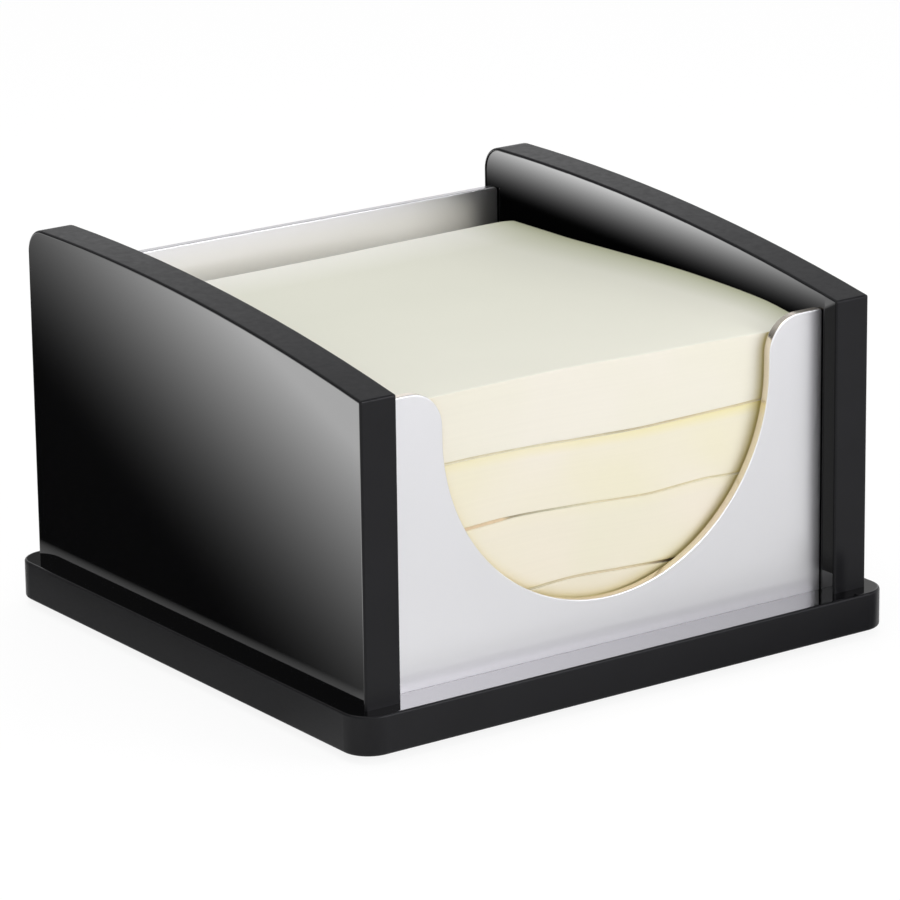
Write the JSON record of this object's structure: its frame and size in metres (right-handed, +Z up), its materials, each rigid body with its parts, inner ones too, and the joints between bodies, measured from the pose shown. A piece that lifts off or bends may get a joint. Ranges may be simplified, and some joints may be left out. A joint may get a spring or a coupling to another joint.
{
  "type": "memo pad holder",
  "caption": "Open desk holder for square sticky notes: black base, two arched black side panels, satin metal front with a half-round scoop, metal back, stacked cream pads.",
  "frame": {"origin": "middle of the base, on the table plane that the feet stand on", "axes": "+X to the right, +Y from the scooped front plate to the back plate, +Z up"},
  "size_m": [0.1002, 0.0974, 0.0617],
  "materials": {
    "black_acrylic": "polished faces, satin sawn edges",
    "satin_aluminium": "satin anodised",
    "note_paper": "uncoated pale yellow paper, cut edges",
    "backing_paper": "coated release paper",
    "zinc_steel": "zinc plated",
    "foot_rubber": "matt"
  },
  "bodies": {
    "holder": {"base_plate": "black_acrylic", "side_panel_left": "black_acrylic", "side_panel_right": "black_acrylic", "front_plate": "satin_aluminium", "back_plate": "satin_aluminium", "panel_screw_left_front": "zinc_steel", "panel_screw_left_back": "zinc_steel", "panel_screw_right_front": "zinc_steel", "panel_screw_right_back": "zinc_steel", "foot_left_front": "foot_rubber", "foot_left_back": "foot_rubber", "foot_right_front": "foot_rubber", "foot_right_back": "foot_rubber"},
    "pad_1": {"pad_backing_1": "backing_paper", "note_pad_1": "note_paper"},
    "pad_2": {"pad_backing_2": "backing_paper", "note_pad_2": "note_paper"},
    "pad_3": {"pad_backing_3": "backing_paper", "note_pad_3": "note_paper"},
    "pad_4": {"pad_backing_4": "backing_paper", "note_pad_4": "note_paper"}
  },
  "joints": [
    {"name": "pad_1_lift", "type": "slide", "parent": "holder", "child": "pad_1", "axis": [0, 0, 1], "range_m": [0, 0.06]},
    {"name": "pad_2_lift", "type": "slide", "parent": "pad_1", "child": "pad_2", "axis": [0, 0, 1], "range_m": [0, 0.06]},
    {"name": "pad_3_lift", "type": "slide", "parent": "pad_2", "child": "pad_3", "axis": [0, 0, 1], "range_m": [0, 0.06]},
    {"name": "pad_4_lift", "type": "slide", "parent": "pad_3", "child": "pad_4", "axis": [0, 0, 1], "range_m": [0, 0.06]}
  ]
}
